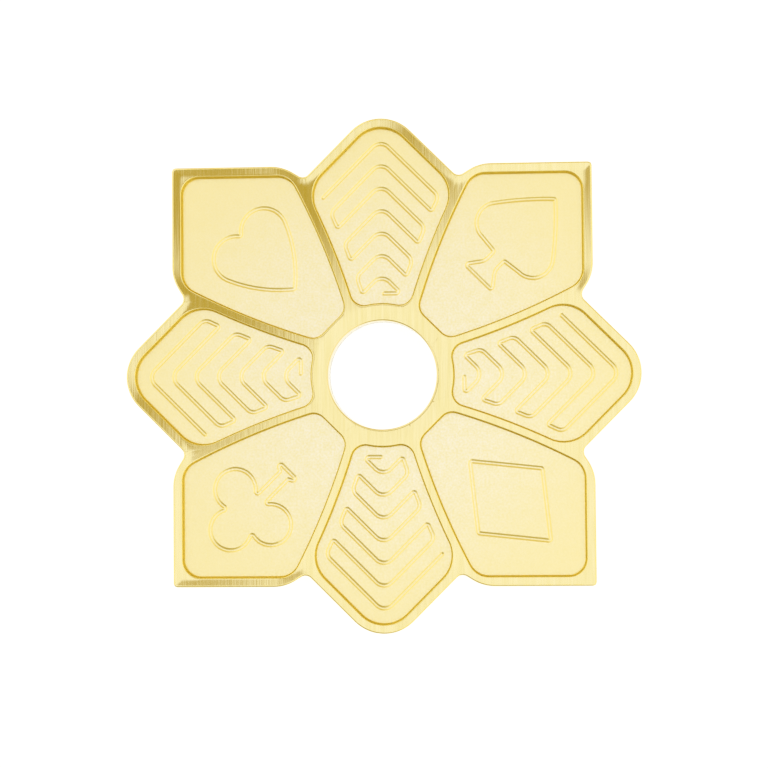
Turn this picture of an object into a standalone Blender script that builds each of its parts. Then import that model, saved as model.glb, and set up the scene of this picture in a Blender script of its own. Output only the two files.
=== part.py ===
"""Dealer button: a brass plate of eight petals with an engraved inlay in each petal.

Four arrow petals with rounded tips point along X and Y and hold a zigzag line of
chevrons. Four square petals stand on the diagonals and hold the four card suits.
Metres, +Z up. The plate lies on Z = 0 with its patterned face up, and the hole's
axis is Z. Every petal is drawn pointing along +Y and then turned into its place.
"""

from math import acos, atan2, ceil, cos, pi, radians, sin, sqrt, tan

import bmesh
import bpy
from mathutils import Matrix, Vector
from mathutils.geometry import intersect_line_sphere_2d, intersect_sphere_sphere_2d

MM = 0.001

# Plate
TIP_SPAN = 60.0 * MM             # from one rounded arrow tip to the opposite one
TIP_RADIUS = 4.82 * MM
SQUARE_SIDE = 49.1 * MM          # across the straight edges of the square petals
SQUARE_CORNER_RADIUS = 0.4 * MM
THICKNESS = 4.0 * MM
HOLE_DIAMETER = 12.7 * MM
EDGE_BREAK = 0.15 * MM           # chamfer on the plate's outer edges and round the hole
VALLEY_HALF_WIDTH = 9.0 * MM     # from an arrow's axis to the notch beside it
VALLEY_RADIUS = 0.9 * MM
SHOULDER_HALF_WIDTH = 11.45 * MM  # from an arrow's axis to the bend in the square's edge
SHOULDER_RADIUS = 4.9 * MM

# Ribs between the pockets: slightly bowed, touching the line between two petals
RIB_WIDTH = 0.86 * MM
RIB_BOW_RADIUS = 83.0 * MM
RIB_TOUCH_RADIUS = 17.2 * MM     # from the plate's axis to the touching point

# Pockets
ARROW_BORDER = 1.0 * MM          # land outside an arrow pocket
SQUARE_BORDER = 1.05 * MM        # land outside a square pocket
RING_WIDTH = 1.93 * MM           # land between the hole and the pockets
ARROW_POCKET_RADIUS = 3.8 * MM   # outer corners of an arrow pocket
SQUARE_POCKET_RADIUS = 2.1 * MM  # outermost corner of a square pocket
SQUARE_SHOULDER_RADIUS = 2.5 * MM
POCKET_FOOT_RADIUS = 1.75 * MM   # corners beside the hole

# Inlays
RECESS = 0.8 * MM                # from the plate's face down to an inlay's face
INLAY_THICKNESS = 1.2 * MM
INLAY_CLEARANCE = 0.1 * MM       # to the pocket's wall
SEAT_CLEARANCE = 0.05 * MM       # to the pocket's floor
INLAY_EDGE_BREAK = 0.12 * MM

# Engraving: a ball-nosed cutter run along a path
CUTTER_DIAMETER = 0.64 * MM
CUT_DEPTH = 0.25 * MM
TIGHT_TURN = 0.24 * MM           # radius of the path at a sharp corner

# Zigzag line in the arrow inlays
CHEVRON_SPACING = 1.866 * MM     # square to the limbs
CHEVRON_MARGIN = 2.06 * MM       # from the pocket's outer edge to the first limb
CHEVRON_APEX_RADIUS = 1.3 * MM
CHEVRON_TURN_RADIUS = 1.0 * MM
CHEVRON_SIDE_MARGIN = 1.45 * MM  # from the pocket's side to the turns
CHEVRON_INNER_MARGIN = 2.6 * MM  # least room from the pocket's inner edge to an apex
CHEVRON_TAIL = 2.0 * MM          # short run back at the inner end

# Suits: a reach is measured down the petal from the pocket's sharp outer corner
HEART_TOP_REACH = 8.69 * MM
HEART_LOBE_RADIUS = 2.7 * MM
HEART_LOBE_OFFSET = 2.3 * MM     # from the petal's axis to a lobe's centre
HEART_SIDE_RADIUS = 16.5 * MM
HEART_SIDE_TURN = radians(23)    # where a lobe passes into its side, below its widest place
SPADE_LOBE_REACH = 11.21 * MM
SPADE_LOBE_RADIUS = 2.33 * MM
SPADE_LOBE_OFFSET = 2.97 * MM
SPADE_EDGE_RADIUS = 40.0 * MM
SPADE_EDGE_TURN = radians(37)    # where a lobe passes into its edge, above its widest place
SPADE_NECK_DROP = 0.25 * MM      # from the lobes' undersides to the stem's corners
SPADE_STEM_HEIGHT = 3.45 * MM
SPADE_STEM_WIDTH = 1.6 * MM
SPADE_FOOT_WIDTH = 4.5 * MM
SPADE_FLARE_HEIGHT = 1.9 * MM
SPADE_FLARE_RADIUS = 1.6 * MM
DIAMOND_TIP_REACH = 5.8 * MM
DIAMOND_WIDTH = 10.58 * MM
DIAMOND_HEIGHT = 13.15 * MM
CLUB_TOP_REACH = 5.48 * MM
CLUB_LOBE_RADIUS = 2.4 * MM
CLUB_LOBE_SPACING = 4.74 * MM    # from the top lobe's centre to a side lobe's
CLUB_SPREAD = radians(38)        # side lobes' direction from the top lobe's centre
CLUB_STEM_HEIGHT = 4.2 * MM
CLUB_STEM_WIDTH = 1.3 * MM
CLUB_FOOT_WIDTH = 3.8 * MM
CLUB_FOOT_HEIGHT = 0.7 * MM

# Facets
FACET_ERROR = 0.015 * MM         # from an arc to the chords that stand for it
CUTTER_BEVEL_RESOLUTION = 2
WELD_DISTANCE = 0.001 * MM
SMOOTH_ANGLE = radians(30)

# Turn of each petal from +Y, counterclockwise seen from above
ARROW_PETALS = {"north": 0, "west": 90, "south": 180, "east": 270}
SQUARE_PETALS = {"heart": 45, "club": 135, "diamond": 225, "spade": 315}
PETAL_HALF_ANGLE = radians(22.5)

# A right-angled corner rounded by a radius falls short of its point by this share of it
CORNER_SHORTFALL = sqrt(2) - 1
ARROW_APEX = TIP_SPAN / 2 + CORNER_SHORTFALL * TIP_RADIUS
ARROW_POCKET_APEX = ARROW_APEX - sqrt(2) * ARROW_BORDER
SQUARE_POCKET_APEX = sqrt(2) * (SQUARE_SIDE / 2 - SQUARE_BORDER)
POCKET_INNER_EDGE = HOLE_DIAMETER / 2 + RING_WIDTH
INLAY_TOP = THICKNESS - RECESS
INLAY_BOTTOM = INLAY_TOP - INLAY_THICKNESS
POCKET_FLOOR = INLAY_BOTTOM - SEAT_CLEARANCE


def point(x, y):
    """A point or a direction in the plane of the plate."""
    return Vector((x, y))


CENTRE = point(0, 0)
UP = point(0, 1)
DOWN = point(0, -1)
LEFT = point(-1, 0)
RIGHT = point(1, 0)
SLOPE_OUT = point(1, 1)          # square to an outer edge of a petal
SLOPE_DOWN = point(1, -1)        # along an outer edge of a petal
CLOCKWISE = -1
COUNTERCLOCKWISE = 1


def bearing(direction):
    """Angle of a direction from +X."""
    return atan2(direction.y, direction.x)


def towards(angle):
    """The direction at an angle from +X."""
    return point(cos(angle), sin(angle))


def mirrored(corners):
    """(corner, radius) pairs reflected in the petal's axis, in reverse order."""
    return [(point(-p.x, p.y), radius) for p, radius in reversed(corners)]


def sharp(points):
    """(corner, radius) pairs with no rounding."""
    return [(p, 0) for p in points]


def arc(centre, radius, start, end, turn):
    """Points on an arc from one direction to another, both ends included."""
    sweep = turn * (turn * (bearing(end) - bearing(start)) % (2 * pi))
    widest_step = 2 * acos(max(0, 1 - FACET_ERROR / radius))
    steps = max(2, ceil(abs(sweep) / widest_step - 1e-6))
    angles = [bearing(start) + sweep * k / steps for k in range(steps + 1)]
    return [centre + radius * towards(a) for a in angles]


def rounded(corners, closed=True):
    """A path through (corner, radius) pairs, with a tangent arc at each corner.

    An arc takes less than half of a side that it shares with another arc, and less
    than all of a side that ends in a plain corner.
    """
    points = []
    ends = () if closed else (0, len(corners) - 1)
    for i, (corner, radius) in enumerate(corners):
        if i in ends or radius == 0:
            points.append(corner)
            continue
        neighbours = corners[i - 1], corners[(i + 1) % len(corners)]
        back, ahead = (p - corner for p, _ in neighbours)
        room = min((p - corner).length * (0.49 if r else 0.95) for p, r in neighbours)
        half = back.angle(ahead) / 2
        reach = min(radius / tan(half), room)
        start = corner + reach * back.normalized()
        end = corner + reach * ahead.normalized()
        inward = (start + end) / 2 - corner
        centre = corner + inward.normalized() * reach / cos(half)
        turn = CLOCKWISE if back.cross(ahead) > 0 else COUNTERCLOCKWISE
        points += arc(centre, reach * tan(half), start - centre, end - centre, turn)
    return points


def petal_side(bow, inset):
    """Circle along the right side of a petal's pocket: its centre and radius.

    The rib beside the pocket curves away from an arrow petal, with a bow of 1, and
    towards a square petal, with a bow of -1. The inset moves the circle into the pocket.
    """
    along = point(sin(PETAL_HALF_ANGLE), cos(PETAL_HALF_ANGLE))
    across = point(along.y, -along.x)
    centre = RIB_TOUCH_RADIUS * along + bow * RIB_BOW_RADIUS * across
    return centre, RIB_BOW_RADIUS + bow * (RIB_WIDTH / 2 + inset)


def crossing(circle, start, direction):
    """Where a line meets a circle, nearest to the line's start."""
    reach = TIP_SPAN * direction.normalized()
    hits = intersect_line_sphere_2d(start - reach, start + reach, *circle, False)
    return min((h for h in hits if h is not None), key=lambda h: (h - start).length)


def notch(first, second, radius):
    """Centre of the tight turn between two lobes, on the side away from the hole."""
    reach = radius + TIGHT_TURN
    return max(intersect_sphere_sphere_2d(first, reach, second, reach), key=lambda h: h.length)


def pocket_outline(apex, tip_radius, shoulder_radius, bow, inset):
    """Outline of a petal's pocket, or of what lies in it at an inset from its wall.

    Two edges at 45 degrees run from the outer corner to the sides along the ribs, and
    every corner is an arc that touches both of its neighbours.
    """
    side_centre, side_radius = petal_side(bow, inset)
    tip = point(0, apex - sqrt(2) * tip_radius)
    beside_edge = point(0, apex - sqrt(2) * shoulder_radius) + SLOPE_DOWN * POCKET_INNER_EDGE
    shoulder = crossing(petal_side(bow, shoulder_radius), beside_edge, SLOPE_DOWN)
    foot_side = petal_side(bow, POCKET_FOOT_RADIUS)
    foot_height = POCKET_INNER_EDGE + POCKET_FOOT_RADIUS
    ring = POCKET_INNER_EDGE + inset
    if bow > 0:
        foot = max(intersect_sphere_sphere_2d(*foot_side, CENTRE, foot_height), key=lambda h: h.y)
        foot_end = -foot
        middle = arc(CENTRE, ring, foot, UP, COUNTERCLOCKWISE)[1:]
    else:
        foot = crossing(foot_side, point(POCKET_INNER_EDGE / 2, foot_height), RIGHT)
        foot_end = DOWN
        middle = [point(0, ring)]
    to_shoulder = bow * (side_centre - shoulder)
    to_foot = bow * (side_centre - foot)
    half = arc(tip, tip_radius - inset, UP, SLOPE_OUT, CLOCKWISE)[1:]
    half += arc(shoulder, shoulder_radius - inset, SLOPE_OUT, to_shoulder, CLOCKWISE)
    half += arc(side_centre, side_radius, -bow * to_shoulder, -bow * to_foot, bow)[1:-1]
    half += arc(foot, POCKET_FOOT_RADIUS - inset, to_foot, foot_end, CLOCKWISE)
    half += middle[:-1]
    corners = sharp(half)
    top = tip + (tip_radius - inset) * UP
    return rounded([(top, 0)] + corners + [(middle[-1], 0)] + mirrored(corners))


def arrow_outline(inset):
    """Pocket of an arrow petal, drawn in by an inset."""
    return pocket_outline(ARROW_POCKET_APEX, ARROW_POCKET_RADIUS, ARROW_POCKET_RADIUS, 1, inset)


def square_outline(inset):
    """Pocket of a square petal, drawn in by an inset."""
    return pocket_outline(SQUARE_POCKET_APEX, SQUARE_POCKET_RADIUS, SQUARE_SHOULDER_RADIUS, -1, inset)


def plate_outline():
    """Outer edge of the plate: tip, notch, shoulder and square corner, four times."""
    half_square = SQUARE_SIDE / 2
    valley = point(VALLEY_HALF_WIDTH, ARROW_APEX - VALLEY_HALF_WIDTH)
    shoulder = point(SHOULDER_HALF_WIDTH, half_square)
    quarter = [
        (point(0, ARROW_APEX), TIP_RADIUS),
        (valley, VALLEY_RADIUS),
        (shoulder, SHOULDER_RADIUS),
        (point(half_square, half_square), SQUARE_CORNER_RADIUS),
        (shoulder.yx, SHOULDER_RADIUS),
        (valley.yx, VALLEY_RADIUS),
    ]
    corners = []
    for degrees in (0, -90, -180, -270):
        turn = Matrix.Rotation(radians(degrees), 2)
        corners += [(turn @ p, radius) for p, radius in quarter]
    return rounded(corners)


def chevron_path():
    """One unbroken line of chevrons, from the free outer end to the inner tail.

    Each chevron runs from one side to the other at 45 degrees, and steps along the
    pocket's side to the next one, which runs back.
    """
    turns_circle = petal_side(1, CHEVRON_SIDE_MARGIN)
    pitch = sqrt(2) * CHEVRON_SPACING
    first = ARROW_POCKET_APEX - sqrt(2) * CHEVRON_MARGIN
    room = first - POCKET_INNER_EDGE - CHEVRON_INNER_MARGIN
    corners = []
    heading = 1
    for i in range(1 + int(room / pitch)):
        apex = point(0, first - i * pitch)
        end = crossing(turns_circle, apex + SLOPE_DOWN * apex.y / 4, SLOPE_DOWN)
        corners.append((point(-heading * end.x, end.y), TIGHT_TURN))
        corners.append((apex, CHEVRON_APEX_RADIUS))
        corners.append((point(heading * end.x, end.y), CHEVRON_TURN_RADIUS))
        heading = -heading
    last = corners.pop()[0]
    corners.append((last, TIGHT_TURN))
    corners.append((last + heading * CHEVRON_TAIL * RIGHT, 0))
    return rounded(corners, closed=False)


def heart_path():
    """Two round lobes outwards, and two bowed sides to a point towards the hole."""
    lobe = point(HEART_LOBE_OFFSET, SQUARE_POCKET_APEX - HEART_TOP_REACH - HEART_LOBE_RADIUS)
    cleft = notch(lobe, point(-lobe.x, lobe.y), HEART_LOBE_RADIUS)
    to_side = towards(-HEART_SIDE_TURN)
    side = lobe + (HEART_LOBE_RADIUS - HEART_SIDE_RADIUS) * to_side
    point_of_heart = crossing((side, HEART_SIDE_RADIUS), POCKET_INNER_EDGE * UP, UP)
    half = arc(cleft, TIGHT_TURN, DOWN, lobe - cleft, COUNTERCLOCKWISE)[1:]
    half += arc(lobe, HEART_LOBE_RADIUS, cleft - lobe, to_side, CLOCKWISE)[1:]
    half += arc(side, HEART_SIDE_RADIUS, to_side, point_of_heart - side, CLOCKWISE)[1:-1]
    half = sharp(half)
    ends = (cleft + TIGHT_TURN * DOWN, 0), (point_of_heart, TIGHT_TURN)
    return rounded([ends[0]] + half + [ends[1]] + mirrored(half))


def spade_path():
    """A point outwards between two bowed edges, on two round lobes, and a flared stem."""
    lobe = point(SPADE_LOBE_OFFSET, SQUARE_POCKET_APEX - SPADE_LOBE_REACH)
    to_edge = towards(SPADE_EDGE_TURN)
    edge = lobe + (SPADE_LOBE_RADIUS - SPADE_EDGE_RADIUS) * to_edge
    tip = crossing((edge, SPADE_EDGE_RADIUS), SQUARE_POCKET_APEX * UP, UP)
    neck = lobe.y - SPADE_LOBE_RADIUS - SPADE_NECK_DROP
    foot = neck - SPADE_STEM_HEIGHT
    half = arc(edge, SPADE_EDGE_RADIUS, tip - edge, to_edge, CLOCKWISE)[1:]
    half += arc(lobe, SPADE_LOBE_RADIUS, to_edge, DOWN, CLOCKWISE)[1:]
    half = sharp(half) + [
        (point(SPADE_STEM_WIDTH / 2, neck), TIGHT_TURN),
        (point(SPADE_STEM_WIDTH / 2, foot + SPADE_FLARE_HEIGHT), SPADE_FLARE_RADIUS),
        (point(SPADE_FOOT_WIDTH / 2, foot), TIGHT_TURN),
    ]
    return rounded([(tip, TIGHT_TURN)] + half + mirrored(half))


def diamond_path():
    """A rhombus, longer along the petal."""
    top = SQUARE_POCKET_APEX - DIAMOND_TIP_REACH
    middle = top - DIAMOND_HEIGHT / 2
    corners = [
        point(0, top),
        point(DIAMOND_WIDTH / 2, middle),
        point(0, top - DIAMOND_HEIGHT),
        point(-DIAMOND_WIDTH / 2, middle),
    ]
    return rounded([(p, TIGHT_TURN) for p in corners])


def club_path():
    """Three round lobes outwards and a straight stem on a small foot."""
    radius = CLUB_LOBE_RADIUS
    top = point(0, SQUARE_POCKET_APEX - CLUB_TOP_REACH - radius)
    side = top + CLUB_LOBE_SPACING * point(sin(CLUB_SPREAD), -cos(CLUB_SPREAD))
    cleft = notch(side, top, radius)
    stem = CLUB_STEM_WIDTH / 2
    fork = crossing((side, radius + TIGHT_TURN), point(stem + TIGHT_TURN, 0), UP)
    foot = fork.y - CLUB_STEM_HEIGHT
    half = arc(top, radius, UP, cleft - top, CLOCKWISE)[1:]
    half += arc(cleft, TIGHT_TURN, top - cleft, side - cleft, COUNTERCLOCKWISE)[1:]
    half += arc(side, radius, cleft - side, fork - side, CLOCKWISE)[1:]
    half += arc(fork, TIGHT_TURN, side - fork, LEFT, COUNTERCLOCKWISE)[1:]
    half = sharp(half) + [
        (point(stem, foot + CLUB_FOOT_HEIGHT), 0),
        (point(CLUB_FOOT_WIDTH / 2, foot), TIGHT_TURN),
    ]
    return rounded([(top + radius * UP, 0)] + half + mirrored(half))


def add_spline(curve, points, closed):
    """A polyline of a curve, through points in the plane of the plate."""
    spline = curve.splines.new("POLY")
    spline.points.add(len(points) - 1)
    for target, p in zip(spline.points, points):
        target.co = (p.x, p.y, 0, 1)
    spline.use_cyclic_u = closed


def evaluated_mesh(obj):
    """A mesh of an object as its curve settings and modifiers make it, welded."""
    depsgraph = bpy.context.evaluated_depsgraph_get()
    mesh = bpy.data.meshes.new_from_object(obj.evaluated_get(depsgraph))
    mesh.name = obj.name
    shape = bmesh.new()
    shape.from_mesh(mesh)
    bmesh.ops.remove_doubles(shape, verts=shape.verts, dist=WELD_DISTANCE)
    bmesh.ops.recalc_face_normals(shape, faces=shape.faces)
    shape.to_mesh(mesh)
    shape.free()
    return mesh


def curve_solid(name, curve, height, collection):
    """A mesh object made from a closed curve solid, which it replaces."""
    drawn = bpy.data.objects.new(name, curve)
    collection.objects.link(drawn)
    mesh = evaluated_mesh(drawn)
    bpy.data.objects.remove(drawn)
    bpy.data.curves.remove(curve)
    solid = bpy.data.objects.new(name, mesh)
    solid.location.z = height
    collection.objects.link(solid)
    return solid


def flat_solid(name, outlines, bottom, top, edge_break, collection):
    """A flat piece between two heights, with its edges broken and its holes open."""
    curve = bpy.data.curves.new(name, "CURVE")
    curve.dimensions = "2D"
    curve.fill_mode = "BOTH"
    curve.extrude = (top - bottom) / 2 - edge_break
    curve.bevel_depth = edge_break
    curve.bevel_resolution = 0
    curve.offset = -edge_break
    for outline in outlines:
        add_spline(curve, outline, closed=True)
    return curve_solid(name, curve, (top + bottom) / 2, collection)


def groove_cutter(name, path, closed, collection):
    """The round cutter's sweep along a path, at the depth of cut."""
    curve = bpy.data.curves.new(name, "CURVE")
    curve.dimensions = "3D"
    curve.twist_mode = "Z_UP"
    curve.bevel_depth = CUTTER_DIAMETER / 2
    curve.bevel_resolution = CUTTER_BEVEL_RESOLUTION
    curve.use_fill_caps = True
    add_spline(curve, path, closed)
    height = INLAY_TOP - CUT_DEPTH + CUTTER_DIAMETER / 2
    return hidden(curve_solid(name, curve, height, collection))


def pocket_cutter(name, outline, collection):
    """The space of one pocket, from its floor to above the plate's face."""
    return hidden(flat_solid(name, [outline], POCKET_FLOOR, THICKNESS + RECESS, 0, collection))


def hidden(cutter):
    """A cutter, marked as no part of the object."""
    cutter.hide_render = True
    cutter.display_type = "WIRE"
    return cutter


def cut(target, cutter):
    """A live cut of one solid out of another."""
    boolean = target.modifiers.new(cutter.name, "BOOLEAN")
    boolean.operation = "DIFFERENCE"
    boolean.solver = "EXACT"
    boolean.use_self = True
    boolean.object = cutter


def finish(name, colour, roughness):
    """A plain brass of one colour and roughness."""
    material = bpy.data.materials.new(name)
    material.use_nodes = True
    shader = material.node_tree.nodes["Principled BSDF"]
    shader.inputs["Base Color"].default_value = colour
    shader.inputs["Metallic"].default_value = 1.0
    shader.inputs["Roughness"].default_value = roughness
    return material


def dressed(obj, material):
    """An object with its material, smooth on its round faces."""
    obj.data.materials.clear()
    obj.data.materials.append(material)
    obj.data.shade_smooth()
    obj.data.set_sharp_from_angle(angle=SMOOTH_ANGLE)
    return obj


def build_plate(parts, cutters):
    """The plate with its hole and its eight pockets."""
    half_hole = arc(CENTRE, HOLE_DIAMETER / 2, UP, DOWN, COUNTERCLOCKWISE)
    hole = half_hole + [-p for p in half_hole[1:-1]]
    plate = flat_solid("body_plate", [plate_outline(), hole], 0, THICKNESS, EDGE_BREAK, parts)
    for petals, outline in ((ARROW_PETALS, arrow_outline(0)), (SQUARE_PETALS, square_outline(0))):
        for name, degrees in petals.items():
            pocket = pocket_cutter(f"{name}_pocket", outline, cutters)
            pocket.rotation_euler.z = radians(degrees)
            cut(plate, pocket)
    return plate


def build_inlay(name, outline, path, closed, parts, cutters):
    """An inlay that fits its pocket, engraved along a path."""
    inlay = flat_solid(name, [outline], INLAY_BOTTOM, INLAY_TOP, INLAY_EDGE_BREAK, parts)
    cut(inlay, groove_cutter(f"{name}_groove", path, closed, cutters))
    engraved = evaluated_mesh(inlay)
    inlay.modifiers.clear()
    inlay.data = engraved
    return inlay


def main():
    """Clear the scene and build the plate and its eight inlays."""
    for obj in list(bpy.data.objects):
        bpy.data.objects.remove(obj)
    parts = bpy.data.collections.new("dealer_button")
    cutters = bpy.data.collections.new("cutters")
    bpy.context.scene.collection.children.link(parts)
    bpy.context.scene.collection.children.link(cutters)
    brushed = finish("brushed_brass", (0.80, 0.64, 0.26, 1.0), 0.30)
    blasted = finish("blasted_brass", (0.86, 0.72, 0.36, 1.0), 0.48)

    dressed(build_plate(parts, cutters), brushed)

    chevrons = build_inlay("chevrons", arrow_outline(INLAY_CLEARANCE), chevron_path(), False,
                           parts, cutters)
    for name, degrees in ARROW_PETALS.items():
        inlay = bpy.data.objects.new(f"{name}_chevron_inlay", chevrons.data)
        inlay.location = chevrons.location
        inlay.rotation_euler.z = radians(degrees)
        parts.objects.link(inlay)
        dressed(inlay, blasted)
    bpy.data.objects.remove(chevrons)

    figures = {"heart": heart_path, "club": club_path, "diamond": diamond_path, "spade": spade_path}
    for name, degrees in SQUARE_PETALS.items():
        inlay = build_inlay(f"{name}_inlay", square_outline(INLAY_CLEARANCE), figures[name](), True,
                            parts, cutters)
        inlay.rotation_euler.z = radians(degrees)
        dressed(inlay, blasted)


main()
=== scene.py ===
"""Looks of a brass dealer button: a brushed plate and its eight blasted, engraved inlays.

Flat shapes are drawn with complex numbers, x along the real axis and y along the
imaginary one. A petal is drawn pointing along +Y and is then turned into its place.
"""

from math import radians, sin, sqrt, tan

import bmesh
import bpy
import numpy as np
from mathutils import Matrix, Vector


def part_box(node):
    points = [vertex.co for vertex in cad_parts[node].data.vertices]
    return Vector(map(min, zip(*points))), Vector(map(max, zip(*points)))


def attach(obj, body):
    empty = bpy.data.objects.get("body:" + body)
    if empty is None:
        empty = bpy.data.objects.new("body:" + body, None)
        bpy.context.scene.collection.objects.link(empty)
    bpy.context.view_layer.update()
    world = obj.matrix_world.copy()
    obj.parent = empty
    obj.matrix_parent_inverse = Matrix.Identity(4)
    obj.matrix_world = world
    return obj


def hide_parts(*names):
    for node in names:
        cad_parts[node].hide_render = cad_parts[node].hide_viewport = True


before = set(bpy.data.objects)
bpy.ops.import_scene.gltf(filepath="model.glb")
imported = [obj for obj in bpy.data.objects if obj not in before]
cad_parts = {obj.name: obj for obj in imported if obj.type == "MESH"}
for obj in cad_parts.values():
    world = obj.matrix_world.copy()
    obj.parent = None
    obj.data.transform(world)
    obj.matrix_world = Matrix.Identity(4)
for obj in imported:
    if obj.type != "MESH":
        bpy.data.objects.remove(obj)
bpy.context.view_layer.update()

MM = 0.001

# Heights and reach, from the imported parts
PLATE_LOW, PLATE_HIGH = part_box("body_plate")
INLAY_LOW, INLAY_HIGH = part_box("heart_inlay")
TIP_REACH = PLATE_HIGH.y
PLATE_TOP = PLATE_HIGH.z
PLATE_BOTTOM = PLATE_LOW.z
INLAY_TOP = INLAY_HIGH.z
INLAY_BOTTOM = INLAY_LOW.z

# Plate
TIP_RADIUS = 4.82 * MM
SQUARE_HALF_SIDE = 24.55 * MM
SQUARE_CORNER_RADIUS = 0.4 * MM
HOLE_RADIUS = 6.35 * MM
VALLEY_HALF_WIDTH = 9.0 * MM
VALLEY_RADIUS = 0.9 * MM
SHOULDER_HALF_WIDTH = 11.45 * MM
SHOULDER_RADIUS = 4.9 * MM
RIB_WIDTH = 0.86 * MM
RIB_BOW_RADIUS = 83.0 * MM
RIB_TOUCH_RADIUS = 17.2 * MM
PLATE_EDGE = 0.15 * MM           # rounding of the plate's outer edge and of the hole
DISH_REACH = 0.75 * MM           # how far in from its outer edge the plate's land slopes down
DISH_DEPTH = 0.036 * MM
RING_REACH = 1.6 * MM            # how far from the hole its ring starts to fall
RING_FALL = 0.036 * MM

# Pockets and inlays
ARROW_BORDER = 1.0 * MM
SQUARE_BORDER = 1.05 * MM
RING_WIDTH = 1.93 * MM
ARROW_POCKET_RADIUS = 3.8 * MM
SQUARE_POCKET_RADIUS = 2.1 * MM
SQUARE_SHOULDER_RADIUS = 2.5 * MM
POCKET_FOOT_RADIUS = 1.75 * MM
POCKET_EDGE = 0.06 * MM          # rounding of a pocket's rim
INLAY_CLEARANCE = 0.1 * MM
SEAT_CLEARANCE = 0.05 * MM
INLAY_EDGE = 0.06 * MM
GLUE_GAP = 0.005 * MM            # left between an inlay and the glue line round it
GLUE_DROP = 0.05 * MM            # of the glue line below the inlay's face

# Engraved line
GROOVE_FLOOR = 0.06 * MM         # half width of the flat floor
GROOVE_REACH = 0.28 * MM         # half width at the inlay's face
GROOVE_DEPTH = 0.11 * MM
TIGHT_TURN = 0.24 * MM

# Zigzag of chevrons
CHEVRON_SPACING = 1.866 * MM
CHEVRON_MARGIN = 2.06 * MM
CHEVRON_APEX_RADIUS = 1.3 * MM
CHEVRON_TURN_RADIUS = 1.0 * MM
CHEVRON_SIDE_MARGIN = 1.45 * MM
CHEVRON_COUNT = 7
CHEVRON_TAIL = 2.0 * MM
LIMB_SEEK = 0.25                 # share of an apex's reach at which a limb's end is looked for

# Suits
HEART_TOP_REACH = 8.69 * MM
HEART_LOBE_RADIUS = 2.7 * MM
HEART_LOBE_OFFSET = 2.3 * MM
HEART_SIDE_RADIUS = 16.5 * MM
HEART_SIDE_TURN = radians(23)    # where a lobe passes into its side, below its widest place
SPADE_LOBE_REACH = 11.21 * MM
SPADE_LOBE_RADIUS = 2.33 * MM
SPADE_LOBE_OFFSET = 2.97 * MM
SPADE_EDGE_RADIUS = 40.0 * MM
SPADE_EDGE_TURN = radians(37)    # where a lobe passes into its edge, above its widest place
SPADE_NECK_DROP = 0.25 * MM
SPADE_STEM_HEIGHT = 3.45 * MM
SPADE_STEM_WIDTH = 1.6 * MM
SPADE_FOOT_WIDTH = 4.5 * MM
SPADE_FLARE_HEIGHT = 1.9 * MM
SPADE_FLARE_RADIUS = 1.6 * MM
DIAMOND_TIP_REACH = 5.8 * MM
DIAMOND_WIDTH = 10.58 * MM
DIAMOND_HEIGHT = 13.15 * MM
CLUB_TOP_REACH = 5.48 * MM
CLUB_LOBE_RADIUS = 2.4 * MM
CLUB_LOBE_SPACING = 4.74 * MM
CLUB_SPREAD = radians(38)
CLUB_STEM_HEIGHT = 4.2 * MM
CLUB_STEM_WIDTH = 1.3 * MM
CLUB_FOOT_WIDTH = 3.8 * MM
CLUB_FOOT_HEIGHT = 0.7 * MM

# Fineness of the meshes
ARC_POINTS = 25
ARROW_STEPS = 48                 # along an eighth of the outline, on an arrow petal
SQUARE_STEPS = 48                # and on a square one
RIB_STEPS = 50
RIB_BEND = 8                     # power with which a rib's middle line turns to its valley
LAND_ROWS = 14
SOFT_COLUMNS = 3                 # over which the land's slope turns at a corner, to each side
BACK_ROWS = 3
ROUNDING_STEPS = 5
INLAY_STEPS = 720
INLAY_ROWS = 130
WELD = 0.0005 * MM
CREASE = 0.04                    # share of a side that a crease's rounding takes
ARC_ROOM = 0.49                  # share of a side that a corner's arc may take, up to another arc
LONE_ARC_ROOM = 0.95             # and up to a sharp corner

# Mask of the painted shade: a deeper gold laid in recesses and along edges for the shade there
EDGE_SHADE = 0.5                  # its share along the plate's outer edge
RIM_FADE = 4                     # power with which it fades out over a pocket's rim
INLAY_FADE = 3                   # and with which it comes in over an inlay's edge

# Turn of each petal from +Y, counterclockwise
ARROW_PETALS = {"north": 0, "west": 90, "south": 180, "east": 270}
SQUARE_PETALS = {"heart": 45, "club": 135, "diamond": 225, "spade": 315}
PETAL_TURN = 45
HALF_PETAL = PETAL_TURN / 2

CORNER_SHORTFALL = sqrt(2) - 1
ARROW_APEX = TIP_REACH + CORNER_SHORTFALL * TIP_RADIUS
ARROW_POCKET_APEX = ARROW_APEX - sqrt(2) * ARROW_BORDER
SQUARE_POCKET_APEX = sqrt(2) * (SQUARE_HALF_SIDE - SQUARE_BORDER)
POCKET_INNER_EDGE = HOLE_RADIUS + RING_WIDTH
POCKET_FLOOR = INLAY_BOTTOM - SEAT_CLEARANCE
LAND_TOP = PLATE_TOP - DISH_DEPTH
RING_TOP = LAND_TOP - RING_FALL

UP, DOWN, LEFT, RIGHT = 1j, -1j, -1, 1
SLOPE_OUT, SLOPE_DOWN = 1 + 1j, 1 - 1j
CLOCKWISE, COUNTERCLOCKWISE = -1, 1
BOWED_OUT, BOWED_IN = 1, -1


# Flat drawing

def unit(direction):
    """A direction of length one."""
    return direction / abs(direction)


def turned(degrees):
    """The factor that turns a drawing counterclockwise about the hole's axis."""
    return np.exp(1j * radians(degrees))


def arc(centre, radius, start, end, turn):
    """Points on a circle from the bearing of start to that of end, both included."""
    first = np.angle(start)
    sweep = turn * (turn * (np.angle(end) - first) % (2 * np.pi))
    return centre + radius * np.exp(1j * (first + sweep * np.linspace(0, 1, ARC_POINTS)))


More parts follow.
